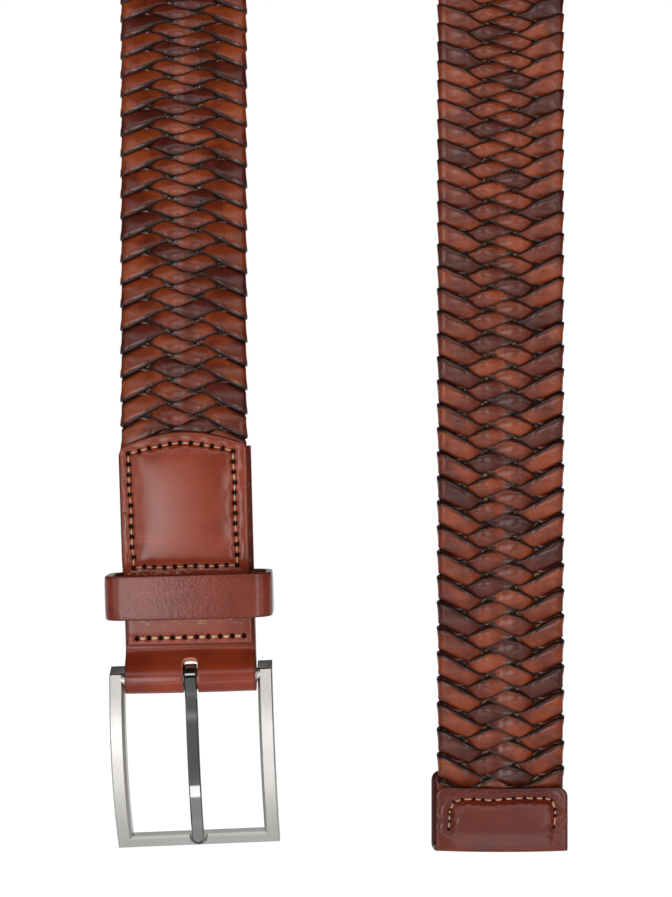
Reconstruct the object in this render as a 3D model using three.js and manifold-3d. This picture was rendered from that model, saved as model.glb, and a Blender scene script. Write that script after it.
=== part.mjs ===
// Braided leather belt with a bowed pin buckle, hanging by its middle.
// Millimetres, +Z up, +Y away from the viewer. The origin is the inner top of the bend,
// where the belt lies over a peg. Both ends hang down with their front face towards -Y.

import * as THREE from 'three';
import { mergeVertices } from 'three/addons/utils/BufferGeometryUtils.js';
import Module from 'manifold-3d';

// Braided strap
const strapWidth = 35;
const strapThickness = 4.2;
const strapEndThickness = 2.6;
const strandRelief = 0.25;
const edgeScallop = 0.4;
const pitchMiddle = 4.9;
const pitchEnds = 7.1;
const looseBraidFrom = 60;
const looseBraidTo = 250;
const bendRadius = 44;
const buckleRun = 434;
const tipLowerThanBuckle = 44;
const twistFromBend = 10;
const twistLength = 225;

// Clearance that touching pieces keep
const gap = 0.3;

// Buckle tab: a strip folded round the buckle's bar, with a patch sewn on its front
const tabWidth = 36;
const tabHeight = 68;
const tabLean = THREE.MathUtils.degToRad(1.5);
const tabLeather = 1.8;
const frontFlapTop = 33;
const patchLeather = 1.6;
const patchBottom = 13.2;
const patchArch = 4;
const patchWidthTop = 36.2;
const patchWidthBottom = 35.2;
const panelBottom = 34.7;
const panelTop = 65.5;
const panelWidth = 29.6;
const panelBulge = 0.9;
const backFlapShift = 0.5;

// Keeper loop
const keeperBottom = 19.7;
const keeperHeight = 12.2;
const keeperWidth = 46;
const keeperLeather = 1.8;
const keeperRoom = 6.2;
const keeperCorner = 4.5;

// Buckle frame
const barDiameter = 3.8;
const barPlay = 0.5;
const frameSideGap = 0.45;
const armWidth = 4.05;
const railWidth = 3.4;
const frameDepth = 4;
const frameReach = 47.4;
const armAboveBar = 3.1;
const armTopChamfer = 1.8;
const frameBow = 5;
const frameTilt = THREE.MathUtils.degToRad(6);
const frameExtraLean = THREE.MathUtils.degToRad(0.9);
const notchRadius = 2.35;
const notchDepth = 1.4;

// Prong and the slot that it turns in
const prongWidth = 3.4;
const prongThickness = 2;
const prongWall = 1.5;
const slotWidth = 4.2;
const slotAboveBar = 4.2;

// Tip cap: a strip folded over the strap's free end
const capWidth = 36.5;
const capLeather = 1.4;
const capFrontHeight = 16.8;
const capBackHeight = 20.4;
const capCorner = 2.8;
const capBackShift = 0.8;

const roundSides = 32;

// Derived places
const bendCentre = strapThickness / 2 - bendRadius;
const bendLength = Math.PI * bendRadius;
const tipRun = buckleRun + tipLowerThanBuckle;
const beltLength = buckleRun + bendLength + tipRun;
const foldBottom = bendCentre - buckleRun;
const tipBottom = bendCentre - tipRun;
const backFace = strapEndThickness / 2 + gap + tabLeather;
const backInner = backFace - tabLeather;
const rollInner = barDiameter / 2 + barPlay;
const rollOuter = rollInner + tabLeather;
const barY = backFace - rollOuter;
const frontFlapInner = backInner - gap;
const frontFlapOuter = frontFlapInner - tabLeather;
const strapStart = panelBottom + 1;
const strapEnd = beltLength - capLeather - strapEndThickness / 2 - gap;

const wasm = await Module();
wasm.setup();

function toSolid(geometry) {
  const bare = geometry.clone();
  bare.deleteAttribute('normal');
  bare.deleteAttribute('uv');
  const merged = mergeVertices(bare, 1e-4);
  return new wasm.Manifold(new wasm.Mesh({
    numProp: 3,
    vertProperties: new Float32Array(merged.attributes.position.array),
    triVerts: new Uint32Array(merged.index.array),
  }));
}

function toGeometry(solid) {
  const mesh = solid.getMesh();
  const geometry = new THREE.BufferGeometry();
  const positions = new Float32Array(mesh.vertProperties);
  geometry.setAttribute('position', new THREE.BufferAttribute(positions, 3));
  geometry.setIndex(Array.from(mesh.triVerts));
  geometry.computeVertexNormals();
  return geometry;
}

// Extrudes a profile drawn as (y, z) along X, centred on x = middle.
function extrudeAcross(shape, width, middle = 0) {
  const geometry = new THREE.ExtrudeGeometry(shape, {
    depth: width, bevelEnabled: false, curveSegments: 12,
  });
  geometry.translate(0, 0, middle - width / 2);
  geometry.applyMatrix4(new THREE.Matrix4().set(
    0, 0, 1, 0,
    1, 0, 0, 0,
    0, 1, 0, 0,
    0, 0, 0, 1,
  ));
  return geometry;
}

// Extrudes an outline drawn as (x, z) from y = front to y = back.
function extrudeDeep(shape, front, back) {
  const geometry = new THREE.ExtrudeGeometry(shape, {
    depth: back - front, bevelEnabled: false, curveSegments: 12,
  });
  geometry.rotateX(Math.PI / 2);
  geometry.translate(0, back, 0);
  return geometry;
}

function roundedRectangle(left, right, bottom, top, radius) {
  const shape = new THREE.Shape();
  shape.moveTo(left + radius, bottom);
  shape.lineTo(right - radius, bottom);
  shape.absarc(right - radius, bottom + radius, radius, -Math.PI / 2, 0, false);
  shape.lineTo(right, top - radius);
  shape.absarc(right - radius, top - radius, radius, 0, Math.PI / 2, false);
  shape.lineTo(left + radius, top);
  shape.absarc(left + radius, top - radius, radius, Math.PI / 2, Math.PI, false);
  shape.lineTo(left, bottom + radius);
  shape.absarc(left + radius, bottom + radius, radius, Math.PI, 1.5 * Math.PI, false);
  return shape;
}

// The strap's middle line at a distance s from the bottom of the buckle fold, going up the
// buckle end, over the peg and down the tip end.
function middleLine(s) {
  if (s < buckleRun) {
    const below = tabHeight - s;
    const lean = Math.tan(tabLean) * 0.5 * (below + Math.hypot(below, tabLeather * 5));
    return new THREE.Vector3(-bendRadius + lean, 0, foldBottom + s);
  }
  const round = s - buckleRun;
  if (round < bendLength) {
    const angle = round / bendRadius;
    return new THREE.Vector3(
      -bendRadius * Math.cos(angle), 0, bendCentre + bendRadius * Math.sin(angle),
    );
  }
  return new THREE.Vector3(bendRadius, 0, bendCentre - (round - bendLength));
}

// The strap's outward face turns from the bend's rim to the viewer over the twist's length.
function faceNormal(s) {
  const ease = (share) => (1 - Math.cos(Math.PI * THREE.MathUtils.clamp(share, 0, 1))) / 2;
  if (s < buckleRun) {
    const turn = (Math.PI / 2) * ease((buckleRun - twistFromBend - s) / twistLength);
    return new THREE.Vector3(-Math.cos(turn), -Math.sin(turn), 0);
  }
  const round = s - buckleRun;
  if (round < bendLength) {
    const angle = round / bendRadius;
    return new THREE.Vector3(-Math.cos(angle), 0, Math.sin(angle));
  }
  const turn = (Math.PI / 2) * ease((round - bendLength - twistFromBend) / twistLength);
  return new THREE.Vector3(Math.cos(turn), -Math.sin(turn), 0);
}

// The braid's repeat along the strap: tight over the middle, looser towards both ends.
function braidPitch(s) {
  const fromEnd = Math.min(s, beltLength - s);
  const tight = THREE.MathUtils.smoothstep(fromEnd, looseBraidFrom, looseBraidTo);
  return pitchEnds + (pitchMiddle - pitchEnds) * tight;
}

// One ring of the strap's section. Shares of the half width, of the half thickness, and of the
// pitch by which the ring runs ahead there, so that the rings follow the herringbone.
const ringTable = [
  { across: -1.0, thick: 0.45, ahead: 0.0 },
  { across: -0.48, thick: 0.96, ahead: 0.75 },
  { across: 0.0, thick: 1.0, ahead: 0.25 },
  { across: 0.48, thick: 0.96, ahead: 0.75 },
  { across: 1.0, thick: 0.45, ahead: 0.0 },
  { across: 1.0, thick: -0.45, ahead: 0.0 },
  { across: 0.48, thick: -0.96, ahead: -0.75 },
  { across: 0.0, thick: -1.0, ahead: -0.25 },
  { across: -0.48, thick: -0.96, ahead: -0.75 },
  { across: -1.0, thick: -0.45, ahead: 0.0 },
];

function braidedStrap() {
  const flatTo = tabHeight + patchArch + gap;
  const capTop = beltLength - capBackHeight - gap;
  const rise = 2 * strapThickness;
  const positions = [];
  const indices = [];
  const ringSize = ringTable.length;
  let rings = 0;

  function addRing(s, ridge) {
    const free = Math.min(
      THREE.MathUtils.smoothstep(s, flatTo, flatTo + rise),
      1 - THREE.MathUtils.smoothstep(s, capTop - rise, capTop),
    );
    const thickness = strapEndThickness + (strapThickness - strapEndThickness) * free;
    for (const row of ringTable) {
      const along = s + row.ahead * braidPitch(s) * free;
      const point = middleLine(along);
      const tangent = middleLine(along + 0.5).sub(middleLine(along - 0.5)).normalize();
      const normal = faceNormal(along);
      const sideways = tangent.clone().cross(normal).normalize();
      const atEdge = Math.abs(row.across) === 1 ? 1 : 0;
      const scallop = row.across * atEdge * ridge * edgeScallop * free;
      const relief = Math.sign(row.thick) * (1 - atEdge) * ridge * strandRelief * free;
      point.addScaledVector(sideways, row.across * strapWidth / 2 + scallop);
      point.addScaledVector(normal, row.thick * thickness / 2 + relief);
      positions.push(point.x, point.y, point.z);
    }
    rings += 1;
  }

  addRing(strapStart, 0);
  let s = strapStart + pitchEnds;
  let ridge = 1;
  while (s < strapEnd - pitchEnds / 4) {
    addRing(s, ridge);
    ridge = -ridge;
    s += braidPitch(s) / 2;
  }
  addRing(strapEnd, 0);

  for (let ring = 0; ring + 1 < rings; ring += 1) {
    for (let k = 0; k < ringSize; k += 1) {
      const next = (k + 1) % ringSize;
      const a = ring * ringSize + k;
      const b = ring * ringSize + next;
      indices.push(a, b, a + ringSize);
      indices.push(b, b + ringSize, a + ringSize);
    }
  }
  const last = (rings - 1) * ringSize;
  for (let k = 1; k + 1 < ringSize; k += 1) {
    indices.push(0, k + 1, k);
    indices.push(last, last + k, last + k + 1);
  }
  const geometry = new THREE.BufferGeometry();
  geometry.setAttribute('position', new THREE.Float32BufferAttribute(positions, 3));
  geometry.setIndex(indices);
  geometry.computeVertexNormals();
  return geometry;
}

// The strip round the bar, drawn from the back flap's top down, under the bar and up the front.
// Heights are above the bar's axis.
function buckleFold() {
  const flapTop = tabHeight - rollOuter;
  const frontTop = frontFlapTop - rollOuter;
  const bendFrom = 0.5 * rollOuter;
  const bendTo = patchBottom - rollOuter - gap;
  const pull = 0.55 * (bendTo - bendFrom);
  const front = barY - rollOuter;
  const inner = barY - rollInner;
  const shape = new THREE.Shape();
  shape.moveTo(backFace, flapTop);
  shape.lineTo(backFace, 0);
  shape.absarc(barY, 0, rollOuter, 0, -Math.PI, true);
  shape.lineTo(front, bendFrom);
  shape.bezierCurveTo(
    front, bendFrom + pull, frontFlapOuter, bendTo - pull, frontFlapOuter, bendTo,
  );
  shape.lineTo(frontFlapOuter, frontTop);
  shape.lineTo(frontFlapInner, frontTop);
  shape.lineTo(frontFlapInner, bendTo);
  shape.bezierCurveTo(
    frontFlapInner, bendTo - pull, inner, bendFrom + pull, inner, bendFrom,
  );
  shape.lineTo(inner, 0);
  shape.absarc(barY, 0, rollInner, Math.PI, 2 * Math.PI, false);
  shape.lineTo(backInner, flapTop);
  const strip = toSolid(extrudeAcross(shape, tabWidth));

  const radius = slotWidth / 2;
  const slot = roundedRectangle(-radius, radius, -3 * rollOuter, slotAboveBar, radius * 0.999);
  const cutter = toSolid(extrudeDeep(slot, barY - 2 * rollOuter, barY + 2 * rollOuter));
  return toGeometry(strip.subtract(cutter));
}

// The patch on the front: a sheet of leather with an arched top, low over the front flap,
// stepping up over the strap's end and padded inside its stitching.
function frontPatch() {
  const columns = 10;
  const rows = 14;
  const lowFace = frontFlapOuter - gap;
  const highFace = -strapEndThickness / 2 - gap;
  const stepFrom = keeperBottom + keeperHeight + gap;
  const stepTo = panelBottom + strapThickness / 2;

  function place(u, v) {
    const width = THREE.MathUtils.lerp(patchWidthBottom, patchWidthTop, v);
    const x = (u - 0.5) * width;
    const arch = patchArch * (1 - (2 * u - 1) ** 2);
    const z = patchBottom + v * (tabHeight + arch - patchBottom);
    const step = THREE.MathUtils.smoothstep(z, stepFrom, stepTo);
    const inner = THREE.MathUtils.lerp(lowFace, highFace, step);
    const sideShare = Math.min(1, Math.abs(x) / (panelWidth / 2));
    const middle = (panelBottom + panelTop) / 2;
    const heightShare = Math.min(1, Math.abs(z - middle) / ((panelTop - panelBottom) / 2));
    const pad = panelBulge * (1 - sideShare ** 4) * (1 - heightShare ** 4);
    return { x, z: z - rollOuter, inner: inner - pad, outer: inner - pad - patchLeather };
  }

  const positions = [];
  const indices = [];
  const layer = (columns + 1) * (rows + 1);
  for (const face of ['outer', 'inner']) {
    for (let j = 0; j <= rows; j += 1) {
      for (let i = 0; i <= columns; i += 1) {
        const point = place(i / columns, j / rows);
        positions.push(point.x, point[face], point.z);
      }
    }
  }
  const at = (i, j) => j * (columns + 1) + i;
  for (let j = 0; j < rows; j += 1) {
    for (let i = 0; i < columns; i += 1) {
      const [a, b, c, d] = [at(i, j), at(i + 1, j), at(i + 1, j + 1), at(i, j + 1)];
      indices.push(a, b, c, a, c, d);
      indices.push(layer + a, layer + c, layer + b, layer + a, layer + d, layer + c);
    }
  }
  const rim = [];
  for (let i = 0; i < columns; i += 1) rim.push(at(i, 0));
  for (let j = 0; j < rows; j += 1) rim.push(at(columns, j));
  for (let i = columns; i > 0; i -= 1) rim.push(at(i, rows));
  for (let j = rows; j > 0; j -= 1) rim.push(at(0, j));
  rim.forEach((a, k) => {
    const b = rim[(k + 1) % rim.length];
    indices.push(a, layer + a, layer + b, a, layer + b, b);
  });
  const geometry = new THREE.BufferGeometry();
  geometry.setAttribute('position', new THREE.Float32BufferAttribute(positions, 3));
  geometry.setIndex(indices);
  geometry.computeVertexNormals();
  return geometry;
}

// The keeper: a closed band of leather round the tab, with room in front for the strap's tip.
function keeperLoop() {
  const innerBack = backFace + gap;
  const innerFront = frontFlapOuter - gap - patchLeather - keeperRoom;
  const half = keeperWidth / 2;
  const outline = (grow, corner) => roundedRectangle(
    -half + keeperLeather - grow, half - keeperLeather + grow,
    innerFront - grow, innerBack + grow, corner,
  );
  const shape = outline(keeperLeather, keeperCorner);
  shape.holes.push(outline(0, keeperCorner - keeperLeather));
  const geometry = new THREE.ExtrudeGeometry(shape, {
    depth: keeperHeight, bevelEnabled: false, curveSegments: 6,
  });
  geometry.translate(0, 0, keeperBottom - rollOuter);
  return geometry;
}

// The frame's middle surface bows towards the viewer between the bar and the end rail.
function bowAt(height) {
  const share = THREE.MathUtils.clamp(-height / frameReach, 0, 1);
  return -4 * frameBow * share * (1 - share);
}

// The bowed frame: a curved plate with its window cut out, a round bar, and a notch in the
// rail for the prong's tip. Local origin on the bar's axis.
function buckleFrame() {
  const steps = 14;
  const half = frameDepth / 2;
  const windowHalf = tabWidth / 2 + frameSideGap;
  const outerHalf = windowHalf + armWidth;
  const side = new THREE.Shape();
  side.moveTo(half, armAboveBar);
  for (let k = 0; k <= steps; k += 1) {
    const height = -frameReach * k / steps;
    side.lineTo(bowAt(height) + half, height);
  }
  for (let k = steps; k >= 0; k -= 1) {
    const height = -frameReach * k / steps;
    side.lineTo(bowAt(height) - half, height);
  }
  side.lineTo(-half, armAboveBar - armTopChamfer);
  side.lineTo(-half + armTopChamfer * 0.8, armAboveBar);
  const plate = toSolid(extrudeAcross(side, 2 * outerHalf));

  const windowShape = roundedRectangle(
    -windowHalf, windowHalf, -frameReach + railWidth, 2 * armAboveBar + railWidth, 0.4,
  );
  const reach = frameBow + 2 * frameDepth;
  const opening = toSolid(extrudeDeep(windowShape, -reach, reach));
  const bar = new THREE.CylinderGeometry(
    barDiameter / 2, barDiameter / 2, 2 * windowHalf + armWidth, roundSides,
  );
  bar.rotateZ(Math.PI / 2);

  const railEdge = -frameReach + railWidth;
  const notch = new THREE.CylinderGeometry(notchRadius, notchRadius, 2 * notchDepth, roundSides);
  notch.translate(0, bowAt(railEdge) - half, railEdge);
  return toGeometry(plate.subtract(opening).add(toSolid(bar)).subtract(toSolid(notch)));
}

// The prong: an eye round the bar and a flat blade with a round tip, which bends down into
// the rail's notch.
function prongShape() {
  const eyeInner = barDiameter / 2 + gap;
  const eyeOuter = eyeInner + prongWall;
  const tip = -frameReach + railWidth - prongWidth / 2;
  const floor = bowAt(-frameReach + railWidth) - frameDepth / 2 + notchDepth;
  const tipBack = floor - gap;
  // Shares of the way from the bar to the tip, and the back face's place there as a share of
  // the frame's bow and of the seat's depth.
  const bladeTable = [
    { down: 0.1, bow: 0.18, seat: 0.25 },
    { down: 0.3, bow: 0.62, seat: 0.3 },
    { down: 0.55, bow: 0.8, seat: 0.5 },
    { down: 0.75, bow: 0.62, seat: 0.7 },
    { down: 0.92, bow: 0.18, seat: 0.95 },
    { down: 1.0, bow: 0.0, seat: 1.0 },
  ];
  const back = bladeTable.map((row) => new THREE.Vector2(
    -row.bow * frameBow * 0.75 + row.seat * tipBack, row.down * tip,
  ));
  const backCurve = new THREE.SplineCurve(back).getPoints(16);
  const frontCurve = backCurve.map((p) => new THREE.Vector2(p.x - prongThickness, p.y));
  frontCurve[frontCurve.length - 1].x += prongThickness * 0.35;
  const shape = new THREE.Shape();
  const joinFront = frontCurve[0];
  const joinBack = backCurve[0];
  const startAngle = Math.atan2(joinFront.y, joinFront.x);
  const endAngle = Math.atan2(joinBack.y, joinBack.x);
  shape.absarc(0, 0, eyeOuter, endAngle, startAngle + 2 * Math.PI, false);
  frontCurve.slice(1).forEach((p) => shape.lineTo(p.x, p.y));
  backCurve.slice(1).reverse().forEach((p) => shape.lineTo(p.x, p.y));
  const eye = new THREE.Path();
  eye.absarc(0, 0, eyeInner, 0, 2 * Math.PI, true);
  shape.holes.push(eye);
  const blade = toSolid(extrudeAcross(shape, prongWidth));
  const half = prongWidth / 2;
  const outline = roundedRectangle(-half, half, tip, 3 * eyeOuter, half * 0.999);
  const reach = frameBow + 2 * frameDepth;
  return toGeometry(blade.intersect(toSolid(extrudeDeep(outline, -reach, reach))));
}

// The cap: a strip folded under the strap's end, its back flap taller than its front one.
function tipCap() {
  const inner = strapEndThickness / 2 + gap;
  const outer = inner + capLeather;
  const turn = outer - capLeather / 4;
  const shape = new THREE.Shape();
  shape.moveTo(outer, capBackHeight);
  shape.lineTo(outer, turn);
  shape.quadraticCurveTo(outer, 0, 0, 0);
  shape.quadraticCurveTo(-outer, 0, -outer, turn);
  shape.lineTo(-outer, capFrontHeight);
  shape.lineTo(-inner, capFrontHeight);
  shape.lineTo(-inner, turn);
  shape.quadraticCurveTo(-inner, capLeather, 0, capLeather);
  shape.quadraticCurveTo(inner, capLeather, inner, turn);
  shape.lineTo(inner, capBackHeight);
  const strip = toSolid(extrudeAcross(shape, capWidth + capBackShift, -capBackShift / 2));
  const half = capWidth / 2;
  const low = -capCorner * 2;
  const frontOutline = roundedRectangle(-half, half, low, capFrontHeight, capCorner);
  const backOutline = roundedRectangle(
    -half - capBackShift, half - capBackShift, low, capBackHeight, capCorner,
  );
  const front = toSolid(extrudeDeep(frontOutline, -2 * outer, 0));
  const back = toSolid(extrudeDeep(backOutline, 0, 2 * outer));
  return toGeometry(strip.intersect(front.add(back)));
}

function material(color, roughness, metalness) {
  return new THREE.MeshStandardMaterial({ color, roughness, metalness });
}

function part(name, geometry, finish) {
  const mesh = new THREE.Mesh(geometry, finish);
  mesh.name = name;
  return mesh;
}

const braidLeather = material(0x7a3219, 0.4, 0);
const tabLeatherFinish = material(0x8a3a22, 0.45, 0);
const brushedNickel = material(0xb9b5b0, 0.38, 1);
const polishedSteel = material(0xd8d8d8, 0.08, 1);

const belt = new THREE.Group();
belt.add(part('braided_strap', braidedStrap(), braidLeather));

// The buckle end leans a little; its group turns about the middle of the tab's top, and its
// inner group has its origin on the bar's axis.
const buckleEnd = new THREE.Group();
buckleEnd.position.set(-bendRadius, 0, foldBottom + tabHeight);
buckleEnd.rotation.y = -tabLean;
const tab = new THREE.Group();
tab.position.z = rollOuter - tabHeight;
buckleEnd.add(tab);
belt.add(buckleEnd);

const fold = part('buckle_fold', buckleFold(), tabLeatherFinish);
fold.position.x = backFlapShift;
tab.add(fold);
tab.add(part('front_patch', frontPatch(), tabLeatherFinish));
tab.add(part('keeper_loop', keeperLoop(), tabLeatherFinish));

const buckle = new THREE.Group();
buckle.position.set(backFlapShift, barY, 0);
buckle.rotation.set(frameTilt, -frameExtraLean, 0);
buckle.add(part('buckle_frame', buckleFrame(), brushedNickel));
buckle.add(part('prong', prongShape(), polishedSteel));
tab.add(buckle);

const cap = part('tip_cap', tipCap(), tabLeatherFinish);
cap.position.set(bendRadius, 0, tipBottom);
belt.add(cap);

export default belt;
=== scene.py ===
import bpy
import numpy as np
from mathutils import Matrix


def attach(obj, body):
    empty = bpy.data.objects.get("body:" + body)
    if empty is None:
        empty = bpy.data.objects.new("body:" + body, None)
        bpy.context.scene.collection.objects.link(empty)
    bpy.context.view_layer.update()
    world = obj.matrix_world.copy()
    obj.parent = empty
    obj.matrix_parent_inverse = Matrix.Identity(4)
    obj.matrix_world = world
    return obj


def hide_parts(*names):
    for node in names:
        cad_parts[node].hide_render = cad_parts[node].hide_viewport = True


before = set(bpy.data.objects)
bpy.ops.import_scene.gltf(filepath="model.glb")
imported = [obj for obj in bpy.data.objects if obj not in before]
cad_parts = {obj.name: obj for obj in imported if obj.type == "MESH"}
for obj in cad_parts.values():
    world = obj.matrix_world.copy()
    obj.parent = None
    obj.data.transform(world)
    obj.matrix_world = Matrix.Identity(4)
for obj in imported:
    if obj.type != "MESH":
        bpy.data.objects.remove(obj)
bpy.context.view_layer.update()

MM = 0.001


# The room: a pale seamless floor under the hanging belt, soft panels and two upright strips of
# light in front of it, one panel behind, and the camera level with the middle of what the
# photograph shows.

view_centre = (-0.0017, 0.0, -0.4083)
view_distance = 0.43
picture_height = 0.2492
film_height = 36.0
belt_middle = (0.0, 0.0, -0.45)
floor_height = -1.2
floor_size = 60.0
floor_glow_behind = (0.7, 1.7)
floor_glow_far = (9.0, 28.0)


def area_light(name, place, target, width, height, power):
    """A rectangular softbox at place, turned so that its face looks at target."""
    light = bpy.data.lights.new(name, "AREA")
    light.shape = "RECTANGLE"
    light.size = width
    light.size_y = height
    light.energy = power
    lamp = bpy.data.objects.new(name, light)
    bpy.context.scene.collection.objects.link(lamp)
    heading = np.array(target) - np.array(place)
    heading = heading / np.linalg.norm(heading)
    lamp.location = place
    lamp.rotation_euler = (
        np.arccos(-heading[2]), 0.0, np.arctan2(heading[1], heading[0]) - np.pi / 2,
    )
    lamp.visible_camera = False
    return lamp


camera = bpy.data.objects.new("camera", bpy.data.cameras.new("camera"))
bpy.context.scene.collection.objects.link(camera)
bpy.context.scene.camera = camera
camera.location = (view_centre[0], -view_distance, view_centre[2])
camera.rotation_euler = (np.pi / 2, 0.0, 0.0)
camera.data.sensor_fit = "VERTICAL"
camera.data.sensor_height = film_height
camera.data.lens = film_height * view_distance / picture_height
camera.data.clip_start = 0.01
camera.data.clip_end = 100.0

bpy.context.scene.view_settings.view_transform = "Standard"
bpy.context.scene.view_settings.look = "None"

area_light("panel_left", (-1.15, -1.25, -0.38), (0.0, 0.0, -0.42), 0.80, 0.90, 3.8)
area_light("panel_right", (1.15, -1.25, -0.38), (0.0, 0.0, -0.42), 0.80, 0.90, 3.0)
area_light("strip_left", (-0.39, -1.45, -0.56), (-0.39, 0.0, -0.56), 0.28, 0.66, 5.0)
area_light("strip_right", (0.46, -1.45, -0.56), (0.46, 0.0, -0.56), 0.26, 0.66, 3.6)
area_light("panel_low", (0.0, -0.95, -1.02), belt_middle, 1.0, 0.12, 1.3)
area_light("panel_high", (0.0, -1.15, 0.22), belt_middle, 1.4, 0.40, 4.4)
area_light("panel_back", (0.0, 1.6, 0.1), belt_middle, 2.0, 1.2, 6.0)


def add_node(tree, kind, settings=None, inputs=None, output=0):
    """Adds a node of a type: its settings first, then the values or links of its sockets."""
    node = tree.nodes.new(kind)
    for name, value in (settings or {}).items():
        setattr(node, name, value)
    for key, value in (inputs or {}).items():
        if isinstance(value, Wire):
            tree.links.new(value.socket, node.inputs[key])
        elif isinstance(value, tuple) and node.inputs[key].type == "RGBA":
            node.inputs[key].default_value = (*value[:3], 1.0)
        else:
            node.inputs[key].default_value = value
    return Wire(node.outputs[output])


class Wire:
    """One output socket. Sums, products and powers of wires and numbers add Math nodes."""

    def __init__(self, socket):
        self.socket = socket
        self.tree = socket.id_data

    def maths(self, operation, *terms):
        inputs = dict(enumerate(terms))
        return add_node(self.tree, "ShaderNodeMath", {"operation": operation}, inputs)

    def __add__(self, other):
        return self.maths("ADD", self, other)

    def __radd__(self, other):
        return self.maths("ADD", other, self)

    def __sub__(self, other):
        return self.maths("SUBTRACT", self, other)

    def __rsub__(self, other):
        return self.maths("SUBTRACT", other, self)

    def __mul__(self, other):
        return self.maths("MULTIPLY", self, other)

    def __rmul__(self, other):
        return self.maths("MULTIPLY", other, self)

    def __truediv__(self, other):
        return self.maths("DIVIDE", self, other)

    def __pow__(self, other):
        return self.maths("POWER", self, other)

    def at_least(self, other):
        return self.maths("MAXIMUM", self, other)

    def between(self, low, high):
        """0 below low, 1 above high, and a smooth step from one to the other."""
        settings = {"interpolation_type": "SMOOTHSTEP"}
        inputs = {0: self, 1: low, 2: high}
        return add_node(self.tree, "ShaderNodeMapRange", settings, inputs)


def mix_colours(factor, first, second):
    """The first colour where the factor is 0, the second where it is 1."""
    settings = {"data_type": "RGBA"}
    inputs = {0: factor, 6: first, 7: second}
    return add_node(factor.tree, "ShaderNodeMix", settings, inputs, output=2)


def start_material(name, **constants):
    """A new material; returns it, its node tree and its Principled shader with constants set."""
    material = bpy.data.materials.new(name)
    material.use_nodes = True
    shader = material.node_tree.nodes["Principled BSDF"]
    for socket, value in constants.items():
        shader.inputs[socket.replace("_", " ")].default_value = value
    return material, material.node_tree, shader


def feed(tree, shader, **wires):
    """Links wires to the shader's sockets, named with _ for a space."""
    for socket, wire in wires.items():
        tree.links.new(wire.socket, shader.inputs[socket.replace("_", " ")])


def noise(tree, scale, detail=2.0, stretch=(1.0, 1.0, 1.0)):
    """Noise on Object coordinates, in blobs of about 1/scale metres, stretched along axes."""
    place = add_node(tree, "ShaderNodeTexCoord", output=3)
    spread = add_node(tree, "ShaderNodeMapping", inputs={0: place, 3: stretch})
    return add_node(tree, "ShaderNodeTexNoise", inputs={"Vector": spread, "Scale": scale,
                                                        "Detail": detail})


def attribute(tree, name):
    """A value that each point of the mesh carries."""
    return add_node(tree, "ShaderNodeAttribute", {"attribute_name": name}, output=2)


def bump(tree, height, strength, distance):
    """A normal that follows a height wire."""
    inputs = {"Height": height, "Strength": strength, "Distance": distance}
    return add_node(tree, "ShaderNodeBump", inputs=inputs)


world = bpy.data.worlds.new("studio")
bpy.context.scene.world = world
world.use_nodes = True
world_tree = world.node_tree
backdrop = world_tree.nodes["Background"]
seen = add_node(world_tree, "ShaderNodeLightPath")
glow = mix_colours(seen, (0.035, 0.035, 0.037), (1.0, 1.0, 1.0))
world_tree.links.new(glow.socket, backdrop.inputs["Color"])
backdrop.inputs["Strength"].default_value = 1.0

bpy.ops.mesh.primitive_plane_add(size=floor_size, location=(0.0, 0.0, floor_height))
floor = bpy.context.object
floor.name = "floor"
floor_paint, floor_tree, floor_shader = start_material(
    "pale_floor", Roughness=0.9, Emission_Strength=1.0)
floor_shade = noise(floor_tree, 3.0)
floor_place = add_node(floor_tree, "ShaderNodeTexCoord", output=3)
floor_depth = add_node(floor_tree, "ShaderNodeSeparateXYZ", inputs={0: floor_place}, output=1)
floor_reach = add_node(floor_tree, "ShaderNodeVectorMath", {"operation": "LENGTH"},
                       {0: floor_place}, output=1)
floor_glow = floor_depth.between(*floor_glow_behind).at_least(
    floor_reach.between(*floor_glow_far))
feed(
    floor_tree, floor_shader,
    Base_Color=mix_colours(floor_shade, (0.90, 0.90, 0.90), (0.94, 0.94, 0.94)),
    Emission_Color=mix_colours(floor_glow, (0.36, 0.36, 0.36), (1.0, 1.0, 1.0)),
)
floor.data.materials.append(floor_paint)


# The braided strap: five strips of bridle leather, each about 5.8 mm wide and 1.3 mm thick,
# plaited over one and under one round a thin woven core. Their cut edges are burnished dark,
# and one strip is darker than the others.

bend_radius = 44 * MM
buckle_run = 434 * MM
tip_run = 478 * MM
strap_thickness = 4.2 * MM
tab_height = 68 * MM
tab_lean = np.radians(1.5)
tab_lean_ease = 9 * MM
twist_start = 10 * MM
twist_length = 225 * MM
bend_length = np.pi * bend_radius
belt_length = buckle_run + bend_length + tip_run
bend_centre = strap_thickness / 2 - bend_radius
tip_bottom = bend_centre - tip_run


def smooth_step(x, low, high):
    """Cubic step: 0 at low, 1 at high, level at both."""
    share = np.clip((x - low) / (high - low), 0.0, 1.0)
    return share * share * (3.0 - 2.0 * share)


def middle_line(s):
    """Points of the strap's middle line at lengths s from the bottom of the buckle fold: up
    the buckle end, round a half circle over the peg, and down the tip end."""
    below = tab_height - s
    lean = np.tan(tab_lean) * 0.5 * (below + np.hypot(below, tab_lean_ease))
    angle = np.clip((s - buckle_run) / bend_radius, 0.0, np.pi)
    down = np.maximum(s - buckle_run - bend_length, 0.0)
    up = np.minimum(s - buckle_run, 0.0)
    x = -bend_radius * np.cos(angle) + np.where(s < buckle_run, lean, 0.0)
    z = bend_centre + bend_radius * np.sin(angle) + up - down
    return np.stack([x, np.zeros_like(x), z], axis=-1)


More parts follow.
